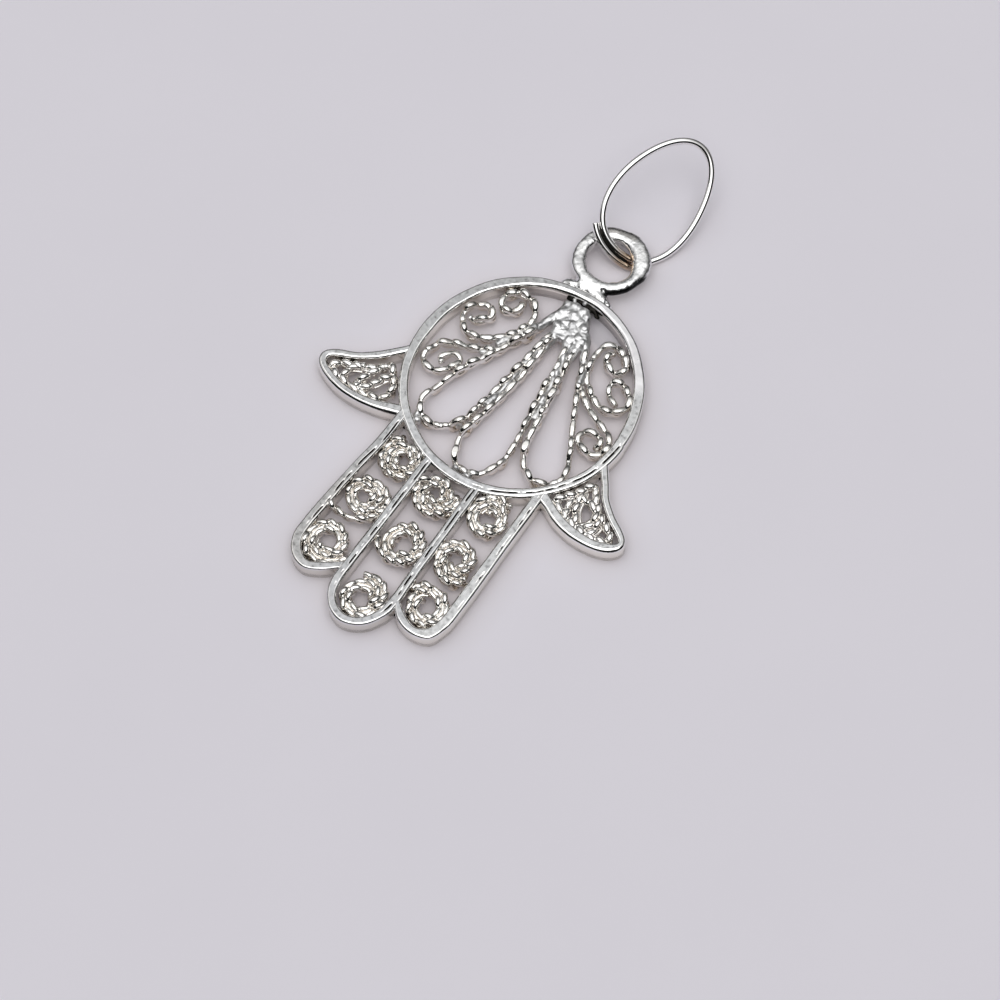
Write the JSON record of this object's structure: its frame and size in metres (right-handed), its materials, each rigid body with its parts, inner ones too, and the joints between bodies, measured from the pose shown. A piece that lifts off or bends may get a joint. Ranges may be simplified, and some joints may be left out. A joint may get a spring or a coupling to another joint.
{
  "type": "hamsa pendant",
  "caption": "Flat openwork hand pendant in polished silver, with twisted-wire scrolls in the palm, coils in the fingers and an oval jump ring through its eye.",
  "frame": {"origin": "the floor under the middle of the palm ring, in the plane of the flat back", "axes": "+Z out of the back towards the face that is seen, +Y from the fingers to the eye, +X towards the right thumb as seen from +Z"},
  "size_m": [0.0264, 0.045, 0.0048],
  "materials": {
    "silver": "polished sterling silver, satin on the top faces",
    "wire": "polished twisted silver wire",
    "ring": "polished silver wire"
  },
  "bodies": {
    "root": {"frame": "silver", "petal_fan": "wire", "coil_left_upper": "wire", "coil_left_middle": "wire", "coil_left_tip": "wire", "coil_middle_upper": "wire", "coil_middle_centre": "wire", "coil_middle_tip": "wire", "coil_right_upper": "wire", "coil_right_middle": "wire", "coil_right_tip": "wire", "thumb_scroll_left": "wire", "thumb_scroll_right": "wire", "jump_ring": "ring"}
  },
  "joints": []
}
